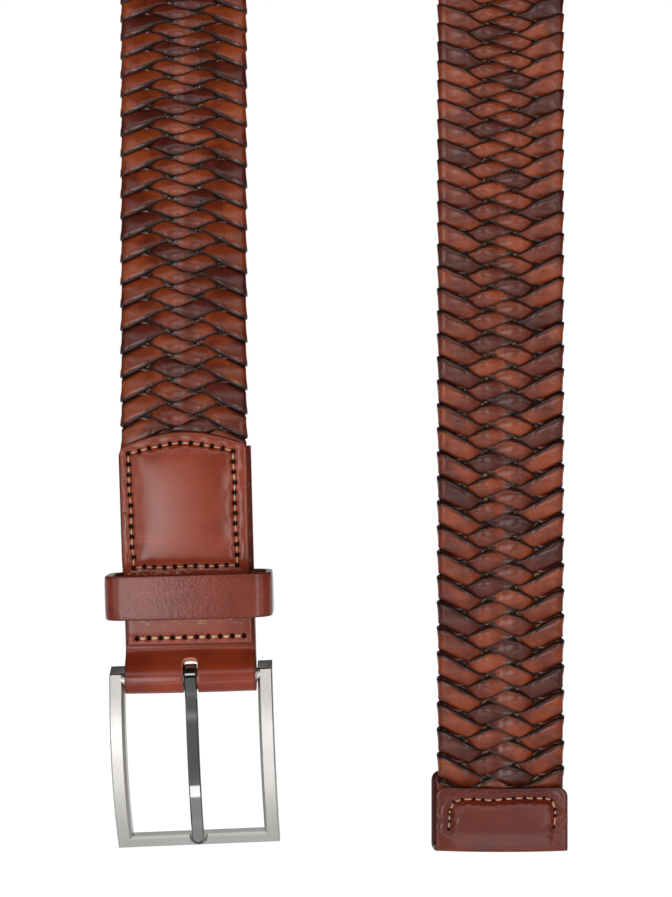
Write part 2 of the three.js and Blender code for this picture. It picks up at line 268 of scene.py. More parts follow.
def outward_face(s):
    """The direction that the strap's front face looks: at the viewer on both hanging ends,
    away from the peg on the bend, and turning a quarter between them along a cosine ease."""
    angle = np.clip((s - buckle_run) / bend_radius, 0.0, np.pi)
    beyond = np.maximum(buckle_run - s, s - buckle_run - bend_length) - twist_start
    share = np.clip(beyond / twist_length, 0.0, 1.0)
    turn = np.pi / 4 * (1.0 - np.cos(np.pi * share))
    round_peg = np.stack([-np.cos(angle), np.zeros_like(s), np.sin(angle)], axis=-1)
    to_viewer = np.array([0.0, -1.0, 0.0])
    return round_peg * np.cos(turn)[..., None] + to_viewer * np.sin(turn)[..., None]


def on_belt(across, along, out):
    """Belt coordinates to places: middle line at along, plus across along the strap's width
    and out along its front face's direction."""
    step = 0.5 * MM
    line = middle_line(along)
    heading = middle_line(along + step) - middle_line(along - step)
    heading /= np.linalg.norm(heading, axis=-1, keepdims=True)
    face = outward_face(along)
    sideways = np.cross(heading, face)
    sideways /= np.linalg.norm(sideways, axis=-1, keepdims=True)
    return line + sideways * across[..., None] + face * out[..., None]


# The braid's repeat: tight over the middle, looser towards both ends. Phase counts repeats
# from the buckle end.
pitch_middle = 4.65 * MM
pitch_buckle_end = 7.1 * MM
pitch_tip_end = 7.05 * MM
loose_at_buckle = (30 * MM, 244 * MM)
loose_at_tip = (55 * MM, 302 * MM)
first_notch = 73.3 * MM


def braid_pitch(s):
    """Length of one repeat at s, from a smooth step at each end."""
    near_buckle = smooth_step(s, *loose_at_buckle)
    near_tip = smooth_step(belt_length - s, *loose_at_tip)
    buckle_half = pitch_buckle_end + (pitch_middle - pitch_buckle_end) * near_buckle
    tip_half = pitch_tip_end + (pitch_middle - pitch_tip_end) * near_tip
    return np.where(s < belt_length / 2, buckle_half, tip_half)


length_table = np.linspace(0.0, belt_length, 20001)
per_length = 1.0 / braid_pitch(length_table)
phase_table = np.concatenate([[0.0], np.cumsum(
    0.5 * (per_length[1:] + per_length[:-1]) * np.diff(length_table))])
phase_table += 0.5 - np.interp(first_notch, length_table, phase_table)

strand_count = 5
strand_width = 5.8 * MM
strand_thickness = 1.3 * MM
edge_reach = 17.0 * MM
edge_radius = 0.95 * MM
# Shares of one step: how soon a strip has turned round the strap's edge, and how much its
# travel across leads and lags.
edge_turn = 0.2
steep_lead = 0.03
# How far a strip's near edge stands up at the strap's edge, inside it and over the middle, the
# steps from the edge between which it changes, and how a tight braid stands up more.
lift_at_edge = 0.35 * MM
lift_inside = 1.45 * MM
lift_at_middle = 0.55 * MM
edge_ease = (0.1, 1.1)
middle_ease = (0.8, 1.6)
loose_pitch = 7.2 * MM
pitch_span = 2.5 * MM
loose_lift = 0.75
tight_lift_gain = 0.35
middle_width_share = 0.82
doming = 0.22 * MM
# The braid is pressed flatter inside the tab and the cap, over these lengths past their rims.
tab_flattening = 0.62
past_tab = (1 * MM, 9 * MM)
past_cap = (15 * MM, 24 * MM)
strap_start = 38 * MM
strap_end = belt_length - 5 * MM


# The strip's section, as shares of half its width and half its thickness, and how burnished
# each point is.
strip_section = np.array([
    [-1.00, 0.60, 1.0], [-0.91, 1.00, 0.9], [-0.45, 1.10, 0.15], [0.45, 1.10, 0.15],
    [0.91, 1.00, 0.9], [1.00, 0.60, 1.0], [1.00, -0.60, 1.0], [0.91, -1.00, 0.9],
    [0.45, -1.10, 0.15], [-0.45, -1.10, 0.15], [-0.91, -1.00, 0.9], [-1.00, -0.60, 1.0],
])


def strand_across(step):
    """Place across the strap, from -edge_reach to edge_reach as step goes from 0 to 5: even
    travel plus a sine wave, so a strip runs flattest over the middle."""
    share = (step - 2.5) / 2.5
    return edge_reach * (share + steep_lead * np.sin(np.pi * share))


def weave(step):
    """-1 where a strip is at the back and 1 at the front: under at 1 and 3, over at 2 and 4,
    a cosine between them whose tops are flattened by the cubic 1.5 c - 0.5 c cubed."""
    wave = -np.cos(np.pi * (np.clip(step, 1.0, 4.0) - 1.0))
    return wave * (1.5 - 0.5 * wave * wave)


def strand_points(start_phase):
    """All points of one strip. Step 0 to 5 is one crossing from the left edge to the right,
    5 to 10 the way back. The section goes along that path square to its run, its edge towards
    the buckle lifted away from the strap, and each point bends over and under along the lines
    of the strips that cross it. Also returns how near each point is to where it dips, which is
    painted as shade."""
    phases = np.interp([strap_start, strap_end], length_table, phase_table)
    first = int(np.floor(2.0 * (start_phase - phases[1]) / 5.0))
    last = int(np.ceil(2.0 * (start_phase - phases[0]) / 5.0))
    one_crossing = np.concatenate([
        np.linspace(0.0, edge_turn, 5)[:-1], np.linspace(edge_turn, 1.0, 5)[:-1],
        np.linspace(1.0, 4.0, 33)[:-1], np.linspace(4.0, 5.0 - edge_turn, 5)[:-1],
        np.linspace(5.0 - edge_turn, 5.0, 5)[:-1],
    ])
    steps = (5.0 * np.arange(first, last)[:, None] + one_crossing[None, :]).ravel()
    phase = start_phase - steps / 2.0
    inside = (phase > phases[0]) & (phase < phases[1])
    steps, phase = steps[inside], phase[inside]
    along = np.interp(phase, phase_table, length_table)
    pitch = braid_pitch(along)

    def path(at):
        cycle = np.mod(at, 10.0)
        half = np.where(cycle < 5.0, cycle, 10.0 - cycle)
        turning = np.clip(np.minimum(half, 5.0 - half) / edge_turn, 0.0, 1.0)
        side = np.where(half < 2.5, -1.0, 1.0)
        across = strand_across(np.clip(half, edge_turn, 5.0 - edge_turn))
        across = across + side * edge_radius * np.cos(np.pi / 2 * turning)
        heading = np.where(cycle < 5.0, 1.0, -1.0)
        face = heading * weave(half) * np.sin(np.pi / 2 * turning)
        return across, face, heading, half, turning

    nudge = 1e-3
    across, face, heading, half, turning = path(steps)
    ahead, behind = path(steps + nudge), path(steps - nudge)
    run = np.stack([
        ahead[0] - behind[0], -nudge * pitch, edge_radius * (ahead[1] - behind[1]),
    ], axis=-1)
    run /= np.linalg.norm(run, axis=-1, keepdims=True)
    upright = np.stack([-run[:, 2], np.zeros(len(run)), run[:, 0]], axis=-1)
    upright /= np.linalg.norm(upright, axis=-1, keepdims=True)
    sideways = np.cross(run, upright)
    outward = weave(half)[:, None] * upright
    from_edge = np.minimum(half, 5.0 - half)
    to_middle = smooth_step(from_edge, *middle_ease)
    packed = np.clip(middle_width_share * pitch / strand_width, 0.0, 1.0)
    half_width = strand_width / 2 * (1.0 + (packed - 1.0) * to_middle)
    tight = np.clip((loose_pitch - pitch) / pitch_span, 0.0, 1.0)
    inner_lift = (loose_lift + tight_lift_gain * tight) * lift_inside
    lift = lift_at_edge + (inner_lift - lift_at_edge) * smooth_step(from_edge, *edge_ease)
    lift = lift + (lift_at_middle - lift) * to_middle
    slope = np.arctan2(lift, half_width)
    over, thick = strip_section[:, 0], strip_section[:, 1]
    reach = half_width[:, None] * over
    shift_across = reach * sideways[:, :1]
    shift_along = reach * sideways[:, 1:2]
    # How far across the strap a strip travels in one step: strand_across's derivative.
    speed = edge_reach * (0.4 + 0.4 * np.pi * steep_lead * np.cos(np.pi * (half - 2.5) / 2.5))
    crossing = (
        half[:, None] + 0.5 * shift_across / speed[:, None]
        - heading[:, None] * shift_along / pitch[:, None]
    )
    level = heading[:, None] * weave(crossing) * np.sin(np.pi / 2 * turning)[:, None]
    middle = np.stack(np.broadcast_arrays(
        across[:, None], along[:, None], edge_radius * level), axis=-1)
    cos_slope, sin_slope = np.cos(slope)[:, None], np.sin(slope)[:, None]
    edge_way = sideways * cos_slope + outward * sin_slope
    face_way = upright * cos_slope - weave(half)[:, None] * sideways * sin_slope
    points = (
        middle
        + edge_way[:, None, :] * (reach / cos_slope)[..., None]
        + face_way[:, None, :] * (thick * strand_thickness / 2)[None, :, None]
        - outward[:, None, :] * (doming * over * over)[None, :, None]
    )
    from_tab = smooth_step(points[..., 1] - tab_height, *past_tab)
    from_cap = smooth_step(belt_length - points[..., 1], *past_cap)
    flat = tab_flattening + (1.0 - tab_flattening) * np.minimum(from_tab, from_cap)
    # Painted shade: near 1 where the strip dips under a crossing strip, 0 where it lies fully
    # over or under.
    dip_shade = 1.0 - smooth_step(np.abs(weave(crossing)), 0.15, 0.95)
    return on_belt(points[..., 0], points[..., 1], points[..., 2] * flat), dip_shade


def add_piece(name, points, faces):
    """An object at the origin with a mesh of these points and faces."""
    mesh = bpy.data.meshes.new(name)
    mesh.from_pydata(points.reshape(-1, 3), [], faces)
    mesh.update()
    piece = bpy.data.objects.new(name, mesh)
    bpy.context.scene.collection.objects.link(piece)
    return piece


def grid_mesh(name, points):
    """A mesh through a grid of points (rings, round, 3): quads between neighbours, rings
    closed on themselves, and each end ring filled with a strip of quads."""
    rings, around = points.shape[:2]
    index = np.arange(rings * around).reshape(rings, around)
    following = np.roll(index, -1, axis=1)
    quads = np.stack([index[:-1], following[:-1], following[1:], index[1:]], axis=-1)
    k = np.arange(around // 2 - 1)
    strip = np.stack([k, (around - 1) - k, (around - 2) - k, k + 1], axis=-1)
    far_strip = strip[:, ::-1] + (rings - 1) * around
    return add_piece(name, points, np.concatenate([quads.reshape(-1, 4), strip, far_strip]))


def carry(piece, name, values):
    """Gives each point of a mesh a value that its material can read."""
    layer = piece.data.attributes.new(name, "FLOAT", "POINT")
    layer.data.foreach_set("value", np.ascontiguousarray(values, dtype=np.float32).ravel())


def smooth_faces(piece, sharp_degrees=None):
    """Smooth shading, with edges sharper than the angle kept sharp."""
    piece.data.shade_smooth()
    if sharp_degrees is not None:
        piece.data.set_sharp_from_angle(angle=np.radians(sharp_degrees))


def strip_leather(name, deep, warm):
    """Glossy drum-dyed strip leather: mottled between a deep and a warm brown, near black at
    the burnished edges and, as painted shade, where a strip dips under its neighbours, with
    fine pores and streaks."""
    material, tree, shader = start_material(name, Specular_IOR_Level=0.28)
    mottle = noise(tree, 110.0, 3.0)
    pores = noise(tree, 2600.0, 3.0)
    streaks = noise(tree, 700.0, 2.0, stretch=(1.0, 1.0, 0.25))
    edge = attribute(tree, "burnish")
    brown = mix_colours(mottle.between(0.35, 0.65), deep, warm)
    rim = (edge + 0.25 * (mottle - 0.5)).between(0.35, 0.95)
    feed(
        tree, shader,
        Base_Color=mix_colours(rim, brown, (0.022, 0.008, 0.006)),
        Roughness=0.16 + 0.14 * streaks + 0.06 * mottle - 0.04 * rim,
        Normal=bump(tree, 0.6 * pores + 0.8 * streaks, 0.06, 0.0004),
    )
    return material


strand_browns = [
    ((0.105, 0.015, 0.004), (0.235, 0.042, 0.010)),
    ((0.095, 0.013, 0.004), (0.205, 0.035, 0.009)),
    ((0.115, 0.017, 0.005), (0.245, 0.045, 0.012)),
    ((0.100, 0.014, 0.004), (0.215, 0.038, 0.010)),
    ((0.050, 0.008, 0.004), (0.095, 0.015, 0.007)),
]
for number in range(strand_count):
    points, dip_shade = strand_points(float(number))
    strand = grid_mesh(f"strand_{number + 1}", points)
    # The burnish attribute carries the strips' real dark edges and the painted shade where they
    # dip.
    carry(strand, "burnish", np.maximum(strip_section[:, 2], 0.6 * dip_shade))
    smooth_faces(strand)
    strand.data.materials.append(strip_leather(f"strip_leather_{number + 1}",
                                               *strand_browns[number]))
    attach(strand, "strap")
    if number == 0:
        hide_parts("braided_strap")


# The core inside the braid: a thin beige woven ribbon that shows as specks between the strips.
# About half of it is painted near black, the shade in the gaps between the strips.

core_half_width = 12.0 * MM
core_thickness = 0.5 * MM
core_step = 1.0 * MM

core_along = np.arange(strap_start, strap_end, core_step)
core_section = np.array([[-1.0, 1.0], [-0.4, 1.0], [0.4, 1.0], [1.0, 1.0],
                         [1.0, -1.0], [0.4, -1.0], [-0.4, -1.0], [-1.0, -1.0]])
core_across, core_rise = np.meshgrid(core_section[:, 0], core_along)
core_level = np.broadcast_to(core_section[:, 1], core_across.shape)
core = grid_mesh("core", on_belt(core_across * core_half_width, core_rise,
                                 core_level * core_thickness / 2)[:, ::-1])
core_cloth, core_tree, core_shader = start_material("core_cloth", Roughness=0.9)
core_weave_and_gap_shade = noise(core_tree, 1500.0, 1.0)
# Base colour: beige weave, about half of it near black as painted shade for the gaps between the
# strips.
feed(core_tree, core_shader,
     Base_Color=mix_colours(core_weave_and_gap_shade.between(0.50, 0.66), (0.012, 0.005, 0.003),
                            (0.24, 0.13, 0.06)),
     Normal=bump(core_tree, core_weave_and_gap_shade, 0.6, 0.0004))
core.data.materials.append(core_cloth)
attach(core, "strap")


# The buckle tab: one piece of smooth leather folded round the buckle's bar, its back flap up
# behind the braid and its front flap under the patch, with a slot for the prong whose cut rim
# stays raw and pale.

tab_pivot = np.array([-44.0, 0.0, -407.9]) * MM
tab_drop = 63.8 * MM
bar_height = 4.2 * MM
fold_half_width = 18.0 * MM
fold_leather = 1.8 * MM
fold_shift = 0.5 * MM
fold_bow = 0.8 * MM
roll_centre_y = -0.8 * MM
roll_radius = 4.2 * MM
back_face_y = 3.4 * MM
front_face_y = -0.5 * MM
front_flat_from = 8.7 * MM
front_flat_to = 28.8 * MM
ease_leave = 4.2 * MM
ease_arrive = 3.2 * MM
slot_half_width = 2.1 * MM
slot_top = 5.6 * MM
slot_corner = 1.2 * MM


def on_tab(across, out, height):
    """Tab coordinates to places: across its width, out along y, and height above the buckle's
    bar, turned with the tab's slight lean about its upper end."""
    down = height - tab_drop
    x = tab_pivot[0] + across * np.cos(tab_lean) - down * np.sin(tab_lean)
    z = tab_pivot[2] + across * np.sin(tab_lean) + down * np.cos(tab_lean)
    return np.stack(np.broadcast_arrays(x, out, z), axis=-1)


def leather_sheet(name, points, edge_gap, dark_width, keep=None):
    """The outer side of a sheet of leather, from a grid of points. Edge_gap is each point's
    distance to the nearest cut edge, which is burnished over dark_width. Keep says which
    quads of the grid there are."""
    rows, columns = points.shape[:2]
    index = np.arange(rows * columns).reshape(rows, columns)
    quads = np.stack([index[:-1, :-1], index[:-1, 1:], index[1:, 1:], index[1:, :-1]], axis=-1)
    quads = quads.reshape(-1, 4) if keep is None else quads[keep]
    used, faces = np.unique(quads, return_inverse=True)
    piece = add_piece(name, points.reshape(-1, 3)[used], faces.reshape(-1, 4))
    edge_gap = np.broadcast_to(edge_gap, (rows, columns)).ravel()[used]
    carry(piece, "burnish", np.clip(1.0 - edge_gap / dark_width, 0.0, 1.0))
    return piece


def give_wall(piece, thickness, rounding, rim_slot=0, segments=3):
    """Merges doubled points, adds the leather's thickness inwards, rounds the cut edges."""
    weld = piece.modifiers.new("weld", "WELD")
    weld.merge_threshold = 0.00001
    wall = piece.modifiers.new("wall", "SOLIDIFY")
    wall.thickness = thickness
    wall.offset = -1.0
    wall.use_even_offset = True
    wall.material_offset_rim = rim_slot
    soft = piece.modifiers.new("soft_edges", "BEVEL")
    soft.width = rounding
    soft.segments = segments
    soft.limit_method = "ANGLE"
    soft.angle_limit = np.radians(50.0)
    smooth_faces(piece)


def fold_profile():
    """Places (y, height) of the fold's outer side, from the back flap's top down, round the
    roll and up the front, easing from the roll onto the flat front along a cubic curve."""
    back = np.stack([np.full(24, back_face_y), np.linspace(tab_height - bar_height, 0.0, 24)],
                    axis=-1)
    angle = np.linspace(0.0, -np.pi, 33)[1:]
    roll = np.stack([roll_centre_y + roll_radius * np.cos(angle),
                     roll_radius * np.sin(angle)], axis=-1)
    t = np.linspace(0.0, 1.0, 17)[1:, None]
    start, leave = roll[-1], roll[-1] + np.array([0.0, ease_leave])
    finish = np.array([front_face_y, front_flat_from])
    arrive = finish - np.array([0.0, ease_arrive])
    ease = ((1 - t) ** 3 * start + 3 * (1 - t) ** 2 * t * leave
            + 3 * (1 - t) * t ** 2 * arrive + t ** 3 * finish)
    front = np.stack([np.full(12, front_face_y),
                      np.linspace(front_flat_from, front_flat_to, 13)[1:]], axis=-1)
    return np.concatenate([back, roll, ease, front])


def even_steps(line, count):
    """Points at equal distances along a line of points in a plane."""
    length = np.concatenate([[0.0], np.cumsum(np.linalg.norm(np.diff(line, axis=0), axis=1))])
    even = np.linspace(0.0, length[-1], count)
    return np.stack([np.interp(even, length, line[:, k]) for k in (0, 1)], axis=-1)


profile = even_steps(fold_profile(), 600)
profile_height = profile[:, 1]
above_square = np.clip(profile_height - slot_top + slot_corner, 0.0, None)
slot_span = slot_half_width - slot_corner + np.sqrt(
    np.clip(slot_corner**2 - above_square**2, 0.0, None))
slot_span = np.where(above_square > slot_corner, 0.0, slot_span)
share = np.linspace(0.0, 1.0, 33) ** 1.3
left_half = -fold_half_width + (fold_half_width - slot_span[:, None]) * share[None, :]
fold_across = np.concatenate([left_half, -left_half[:, ::-1]], axis=1)
on_front = smooth_step(-profile[:, :1], 0.0, 2 * MM)
fold_out = profile[:, :1] - fold_bow * on_front * (1.0 - (fold_across / fold_half_width) ** 2)
fold_points = on_tab(fold_across + fold_shift, fold_out, profile_height[:, None])
keep_fold = np.ones((len(profile) - 1, fold_across.shape[1] - 1), dtype=bool)
keep_fold[:, len(share) - 1] = False
buckle_fold = leather_sheet("buckle_tab", fold_points, fold_half_width - np.abs(fold_across),
                            0.9 * MM, keep_fold)
give_wall(buckle_fold, fold_leather, 0.35 * MM, rim_slot=1)


def smooth_leather(name, deep, warm, grain=0.035):
    """Smooth waxed leather: a red brown with cloudy mottling and small dark specks, a fine
    grain, faint streaks of wear, and darker burnished edges."""
    material, tree, shader = start_material(name, Specular_IOR_Level=0.32)
    clouds = noise(tree, 70.0, 3.0)
    specks = noise(tree, 1800.0, 2.0)
    pebbles = noise(tree, 1300.0, 4.0)
    wear = noise(tree, 90.0, 5.0, stretch=(0.35, 1.0, 5.0))
    edge = attribute(tree, "burnish")
    brown = mix_colours(clouds.between(0.32, 0.68), deep, warm)
    worn = mix_colours(0.35 * wear.between(0.60, 0.74), brown,
                       tuple(1.5 * value for value in warm))
    speckled = mix_colours(0.35 * specks.between(0.60, 0.72), worn,
                           tuple(0.5 * value for value in deep))
    rim = (edge + 0.3 * (clouds - 0.5)).between(0.15, 0.9)
    feed(
        tree, shader,
        Base_Color=mix_colours(0.75 * rim, speckled, (0.03, 0.008, 0.004)),
        Roughness=0.14 + 0.12 * clouds + 0.08 * pebbles + 0.10 * rim,
        Normal=bump(tree, pebbles, grain, 0.0006),
    )
    return material


tab_leather = smooth_leather("tab_leather", (0.150, 0.017, 0.006), (0.235, 0.033, 0.011))
raw_edge, raw_tree, raw_shader = start_material("raw_leather_rim", Roughness=0.7)
raw_tone = noise(raw_tree, 900.0, 2.0)
feed(raw_tree, raw_shader, Base_Color=mix_colours(raw_tone, (0.42, 0.16, 0.08),
                                                  (0.60, 0.27, 0.15)))
buckle_fold.data.materials.append(tab_leather)
buckle_fold.data.materials.append(raw_edge)
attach(buckle_fold, "strap")
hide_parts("buckle_fold")


# The front patch: a piece of the same leather with an arched top, sewn over the fold and the
# braid's end. A padded panel stands up inside the stitching, and the stitches pull small
# puckers into it.

patch_bottom = 9.0 * MM
patch_side_top = 64.3 * MM
patch_arch = 3.9 * MM
patch_half_top = 17.8 * MM
patch_half_bottom = 17.5 * MM
patch_leather = 1.3 * MM
patch_face_low = -2.4 * MM
patch_face_high = -3.2 * MM
step_height = 27.6 * MM
step_length = 6 * MM
panel_bulge = 0.75 * MM
panel_ease = 3.0 * MM
panel_dome = 0.5 * MM
seam_left = (-14.4 * MM, -15.1 * MM)
seam_right = (14.15 * MM, 13.85 * MM)
seam_bottom = 30.8 * MM
seam_top = 62.35 * MM
seam_arch = 2.5 * MM
coarse_row_height = 11.3 * MM
hole_radius = 0.76 * MM
stitch_holes = {"left": 11, "top": 10, "right": 11, "bottom": 10}


def seam_line(side, t):
    """Points (across, height) of the panel's seam: straight sides and bottom, and a top that
    follows the patch's arch."""
    if side == "left":
        return np.stack([seam_left[0] + (seam_left[1] - seam_left[0]) * t,
                         seam_bottom + (seam_top - seam_bottom) * t], axis=-1)
    if side == "top":
        return np.stack([seam_left[1] + (seam_right[1] - seam_left[1]) * t,
                         seam_top + seam_arch * np.sin(np.pi * t)], axis=-1)
    if side == "right":
        return np.stack([seam_right[1] + (seam_right[0] - seam_right[1]) * t,
                         seam_top + (seam_bottom - seam_top) * t], axis=-1)
    return np.stack([seam_right[0] + (seam_left[0] - seam_right[0]) * t,
                     np.full(len(t), seam_bottom)], axis=-1)


panel_holes = np.concatenate([
    seam_line(side, np.arange(count) / count) for side, count in stitch_holes.items()])
panel_holes += np.random.default_rng(4).normal(0.0, 0.09 * MM, panel_holes.shape)
coarse_holes = np.stack([np.linspace(-14.1, 15.5, 10) * MM, np.full(10, coarse_row_height)],
                        axis=-1)


def nearest(points, across, height):
    """Distance from every grid point to the nearest of a list of points."""
    gap = np.hypot(across[..., None] - points[:, 0], height[..., None] - points[:, 1])
    return gap.min(axis=-1)


def patch_relief(across, height):
    """How far the patch's face stands out from its flat place: the panel's padding, less the
    seam's groove and a dip at each needle hole, plus puckers beside the stitches."""
    t = np.clip((height - seam_bottom) / (seam_top - seam_bottom), 0.0, 1.0)
    left = seam_left[0] + (seam_left[1] - seam_left[0]) * t
    right = seam_right[0] + (seam_right[1] - seam_right[0]) * t
    top = seam_top + seam_arch * np.sin(np.pi * np.clip(
        (across - left) / (right - left), 0.0, 1.0))
    inside = np.minimum(np.minimum(across - left, right - across),
                        np.minimum(height - seam_bottom, top - height))
    pad = panel_bulge
    for gap in (across - left, right - across, height - seam_bottom, top - height):
        pad = pad * (1.0 - np.exp(-np.clip(gap, 0.0, None) / panel_ease))
    wide = (across - left) / (right - left) - 0.5
    dome = np.cos(np.pi * wide) * np.sin(np.pi * t)
    pad = pad + panel_dome * np.where(inside > 0.0, dome, 0.0)
    groove = 0.30 * MM * np.exp(-(inside / (0.8 * MM)) ** 2)
    coarse = 0.15 * MM * np.exp(-((height - coarse_row_height) / (0.9 * MM)) ** 2)
    hole_gap = nearest(np.concatenate([panel_holes, coarse_holes]), across, height)
    dip = 0.75 * MM * np.exp(-(hole_gap / (0.58 * MM)) ** 2)
    tugged = panel_holes + np.random.default_rng(9).normal(0.0, 0.9 * MM, panel_holes.shape)
    dents = 0.16 * MM * np.exp(-(nearest(tugged, across, height) / (0.55 * MM)) ** 2)
    ripple = np.sin(across / (0.9 * MM) + 2.0 * np.sin(height / (2.3 * MM)))
    waves = 0.10 * MM * ripple * np.exp(-(inside / (2.0 * MM)) ** 2)
    return pad - groove - coarse - dip - dents + waves


def patch_face_at(across, height):
    """y of the patch's face at a place."""
    base = patch_face_low + (patch_face_high - patch_face_low) * smooth_step(
        height, step_height, step_height + step_length)
    return base - patch_relief(across, height)


patch_v = np.linspace(0.0, 1.0, 200)[:, None]
patch_u = np.linspace(-1.0, 1.0, 150)[None, :]
patch_half = patch_half_bottom + (patch_half_top - patch_half_bottom) * patch_v
patch_shift = fold_shift * (1.0 - smooth_step(patch_v, 0.0, 0.5))
corner = 1.0 - 0.045 * np.abs(patch_u) ** 24
patch_across = patch_half * patch_u + patch_shift
patch_top = patch_side_top + patch_arch * np.cos(np.pi / 2 * patch_u)
patch_height = patch_bottom + (patch_top - patch_bottom) * patch_v * corner
edge_gap = np.minimum(patch_half * (1.0 - np.abs(patch_u)),
                      np.minimum(patch_height - patch_bottom, patch_top - patch_height))
patch_face = patch_face_at(patch_across, patch_height) + 0.5 * MM * np.exp(
    -edge_gap / (0.35 * MM))
front_patch = leather_sheet(
    "front_patch", on_tab(patch_across, patch_face, patch_height), edge_gap, 0.8 * MM)
hole_gap = nearest(np.concatenate([panel_holes, coarse_holes]), patch_across, patch_height)
carry(front_patch, "hole", np.exp(-(hole_gap / hole_radius) ** 4))
give_wall(front_patch, patch_leather, 0.2 * MM, segments=2)


def paint_hole_shade(paint):
    """Painted shade: near black where the attribute hole is high, the dark inside of each needle
    hole; the leather's own colour elsewhere.
    """
    tree = paint.node_tree
    shader = tree.nodes["Principled BSDF"]
    brown = Wire(shader.inputs["Base Color"].links[0].from_socket)
    feed(tree, shader, Base_Color=mix_colours(
        attribute(tree, "hole").between(0.25, 0.75), brown, (0.006, 0.002, 0.001)))


patch_paint = smooth_leather("patch_leather", (0.175, 0.024, 0.008), (0.270, 0.043, 0.017))
# The patch's needle holes get painted shade.
paint_hole_shade(patch_paint)
front_patch.data.materials.append(patch_paint)
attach(front_patch, "strap")
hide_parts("front_patch")


# The stitching: waxed beige thread, one short stitch from hole to hole, sunk in its groove, and
# the frayed ends of thread above and below the keeper.

thread_radius = 0.19 * MM
coarse_thread_radius = 2.4 * thread_radius
frayed_radius = 0.10 * MM
fine_inset = 0.12
coarse_inset = 0.24


def thread_tubes(name, line, girth, sides, round_rings):
    """Short closed tubes along lines of points (count, rings, 3): rings of so many sides
    square to the line, each as thick as girth says. Rings that needn't be round get thinner
    where their line leaves the upright plane."""
    count, rings = line.shape[:2]
    run = np.gradient(line, axis=1)
    run /= np.linalg.norm(run, axis=-1, keepdims=True)
    side = np.cross(run, np.broadcast_to(np.array([0.0, -1.0, 0.0]), run.shape))
    if round_rings:
        side /= np.linalg.norm(side, axis=-1, keepdims=True)
    top = np.cross(side, run)
    angle = np.linspace(0.0, 2.0 * np.pi, sides, endpoint=False)
    tube = line[:, :, None, :] + girth * (
        side[:, :, None, :] * np.cos(angle)[None, None, :, None]
        + top[:, :, None, :] * np.sin(angle)[None, None, :, None])
    index = np.arange(count * rings * sides).reshape(count, rings, sides)
    after = np.roll(index, -1, axis=2)
    quads = np.stack([index[:, :-1], after[:, :-1], after[:, 1:], index[:, 1:]], axis=-1)
    caps = np.concatenate([index[:, 0, ::-1], index[:, -1]])
    piece = add_piece(name, tube, quads.reshape(-1, 4).tolist() + caps.tolist())
    piece.data.shade_smooth()
    return piece


def stitches(name, holes, following, inset, face, radius, place):
    """One short thread from each hole to the following one, set in from both by a share of
    their distance: a six-sided tube along a shallow arch, its ends thin and in the holes."""
    starts = (1.0 - inset) * holes + inset * following
    ends = inset * holes + (1.0 - inset) * following
    t = np.linspace(0.0, 1.0, 7)
    flat = starts[:, None, :] + (ends - starts)[:, None, :] * t[None, :, None]
    rise = face(flat[..., 0], flat[..., 1]) - 0.6 * radius
    rise = rise + 0.55 * MM * (np.abs(2.0 * t - 1.0) ** 4)[None, :]
    girth = radius * np.array([0.15, 0.8, 1.0, 1.1, 1.0, 0.8, 0.15])[None, :, None, None]
    line = place(flat[..., 0], rise, flat[..., 1])
    return thread_tubes(name, line, girth, sides=6, round_rings=True)


thread_paint, thread_tree, thread_shader = start_material("beige_thread", Roughness=0.75)
thread_twist = noise(thread_tree, 2500.0, 2.0)
feed(thread_tree, thread_shader,
     Base_Color=mix_colours(thread_twist.between(0.35, 0.65), (0.45, 0.22, 0.11),
                            (0.80, 0.52, 0.30)),
     Normal=bump(thread_tree, thread_twist, 0.5, 0.0003))
panel_seam = stitches("panel_stitches", panel_holes, np.roll(panel_holes, -1, axis=0),
                      fine_inset, patch_face_at, thread_radius, on_tab)
coarse_seam = stitches("coarse_stitches", coarse_holes[:-1], coarse_holes[1:],
                       coarse_inset, patch_face_at, coarse_thread_radius, on_tab)


def loose_ends(name, starts, seed):
    """Frayed thread ends lying on the patch: each starts at a point and wanders, its heading a
    random direction plus a steady turn and a wave, tapering along its length."""
    chance = np.random.default_rng(seed)
    count, rings = len(starts), 14
    t = np.linspace(0.0, 1.0, rings)[None, :]
    heading = (chance.uniform(-0.7, 0.7, (count, 1)) + np.pi * chance.integers(0, 2, (count, 1))
               + chance.normal(0.0, 1.6, (count, 1)) * t
               + 0.7 * np.sin(2.0 * np.pi * t + chance.uniform(0.0, 6.0, (count, 1))))
    stride = chance.uniform(0.9, 2.6, (count, 1)) * MM / rings
    across = starts[:, :1] + np.cumsum(stride * np.cos(heading), axis=1)
    height = starts[:, 1:] + np.cumsum(0.55 * stride * np.sin(heading), axis=1)
    line = on_tab(across, patch_face_at(across, height) - 0.12 * MM, height)
    girth = (frayed_radius * (1.0 - 0.6 * t))[..., None, None]
    return thread_tubes(name, line, girth, sides=5, round_rings=False)


fray_chance = np.random.default_rng(21)
fray_above = np.stack([fray_chance.normal(-9.0, 4.0, 22) * MM,
                       fray_chance.uniform(28.9, 29.7, 22) * MM], axis=-1)
fray_below = np.stack([fray_chance.uniform(-13.0, 15.0, 26) * MM,
                       fray_chance.uniform(14.9, 15.9, 26) * MM], axis=-1)
frayed = loose_ends("frayed_thread", np.concatenate([fray_above, fray_below]), 5)
for seam in (panel_seam, coarse_seam, frayed):
    seam.data.materials.append(thread_paint)
    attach(seam, "strap")


# The keeper: a band of pebbled leather round the tab, its ends joined behind, its edges
# dyed and rounded.

keeper_half_width = 23.0 * MM
keeper_front = -10.4 * MM
keeper_back = 5.5 * MM
keeper_leather = 1.8 * MM
keeper_corner = 4.5 * MM
keeper_shift = 0.9 * MM
keeper_bow = 0.7 * MM
keeper_bottom = 17.0 * MM
keeper_top = 29.2 * MM


